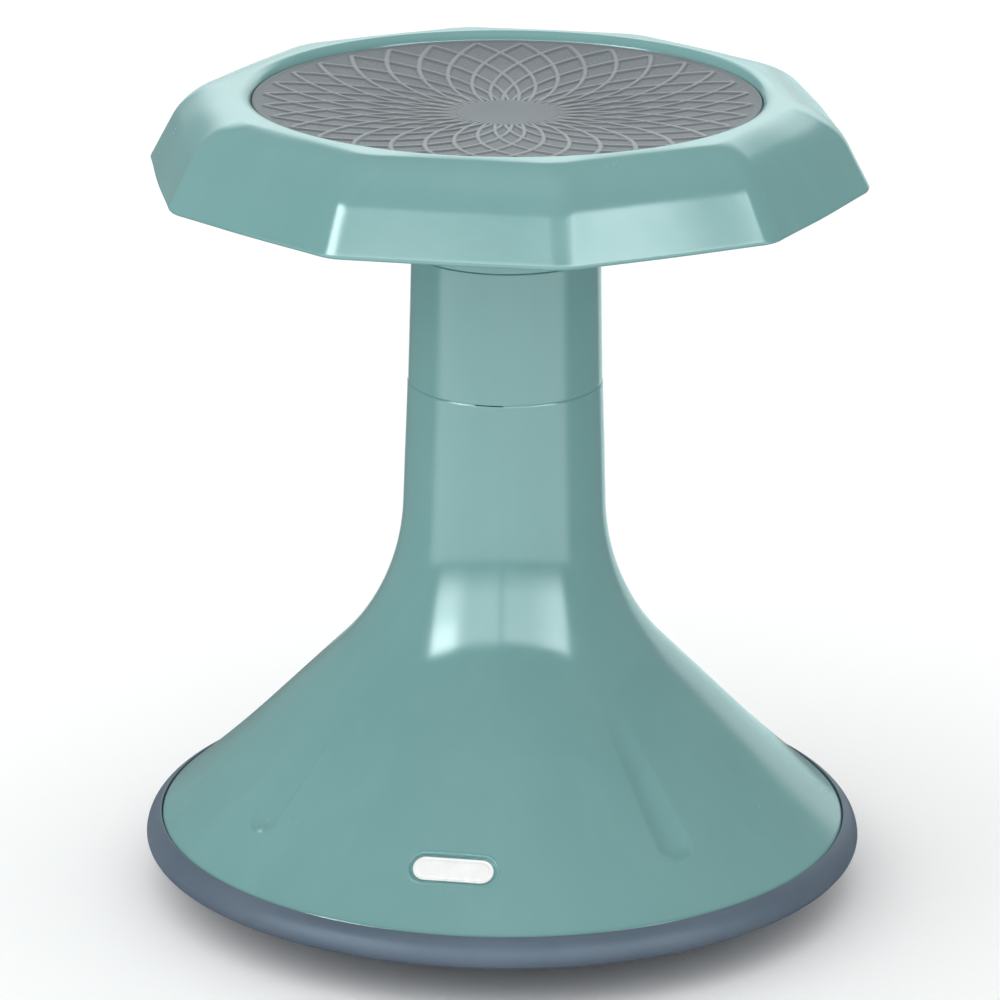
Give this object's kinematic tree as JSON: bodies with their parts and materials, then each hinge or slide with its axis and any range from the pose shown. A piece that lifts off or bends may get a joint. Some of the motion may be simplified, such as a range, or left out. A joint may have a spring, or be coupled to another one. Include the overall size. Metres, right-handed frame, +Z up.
{
  "type": "wobble stool",
  "caption": "Backless rocking stool with a faceted round seat, a dished grip pad, a tubular neck and a flared base on a domed rubber foot.",
  "frame": {"origin": "centre of the small flat land at the lowest point of the domed rubber foot, on the floor", "axes": "+Z up along the stool's axis, -Y towards the front, the side with the badge, +X to the right"},
  "size_m": [0.3394, 0.3394, 0.3833],
  "materials": {
    "shell_plastic": "glossy injection-moulded polypropylene",
    "pad_rubber": "fine-textured soft-touch elastomer",
    "foam": "open-cell foam",
    "screw_steel": "zinc-plated",
    "lock_plastic": "natural acetal",
    "badge_white": "smooth white",
    "pan_plastic": "moulded polypropylene",
    "foot_rubber": "matt slate thermoplastic rubber"
  },
  "bodies": {
    "base": {"base_shell": "shell_plastic", "lower_lock_ring": "lock_plastic", "name_badge": "badge_white", "base_pan": "pan_plastic", "foot_screws": "screw_steel", "rubber_foot": "foot_rubber"},
    "neck": {"neck_tube": "shell_plastic", "upper_lock_ring": "lock_plastic"},
    "seat": {"seat_shell": "shell_plastic", "seat_pad": "pad_rubber", "pad_foam": "foam", "seat_hub": "shell_plastic", "hub_screws": "screw_steel", "hub_washers": "screw_steel"}
  },
  "joints": [
    {"name": "neck_twist_lock", "type": "hinge", "parent": "base", "child": "neck", "pos_m": [0, 0, 0.246], "axis": [0, 0, 1], "range_deg": [0, 30]},
    {"name": "seat_twist_lock", "type": "hinge", "parent": "neck", "child": "seat", "pos_m": [0, 0, 0.308], "axis": [0, 0, 1], "range_deg": [0, 30]}
  ]
}
